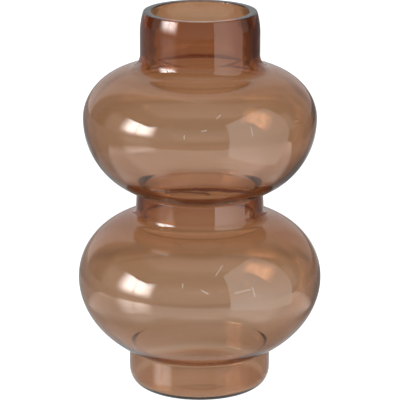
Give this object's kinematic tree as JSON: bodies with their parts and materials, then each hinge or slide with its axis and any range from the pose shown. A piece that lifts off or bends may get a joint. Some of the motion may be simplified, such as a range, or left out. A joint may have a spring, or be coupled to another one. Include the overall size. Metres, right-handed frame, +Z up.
{
  "type": "glass vase",
  "caption": "Thick-walled amber-brown glass vase: two stacked round bulbs with a narrow waist, a short drawn-in neck and a round foot, for holding cut flowers in water.",
  "frame": {"origin": "centre of the ring that the vase stands on, at the level of the table", "axes": "+Z up along the axis of the vase, from the foot to the mouth; +Y away from the viewer of the picture"},
  "size_m": [0.1908, 0.1908, 0.3],
  "materials": {
    "amber_glass": "clear, fire-polished, with a ground rim"
  },
  "bodies": {
    "root": {"base": "amber_glass", "foot": "amber_glass", "lower_bulb": "amber_glass", "waist": "amber_glass", "upper_bulb": "amber_glass", "neck": "amber_glass", "lip": "amber_glass"}
  },
  "joints": []
}
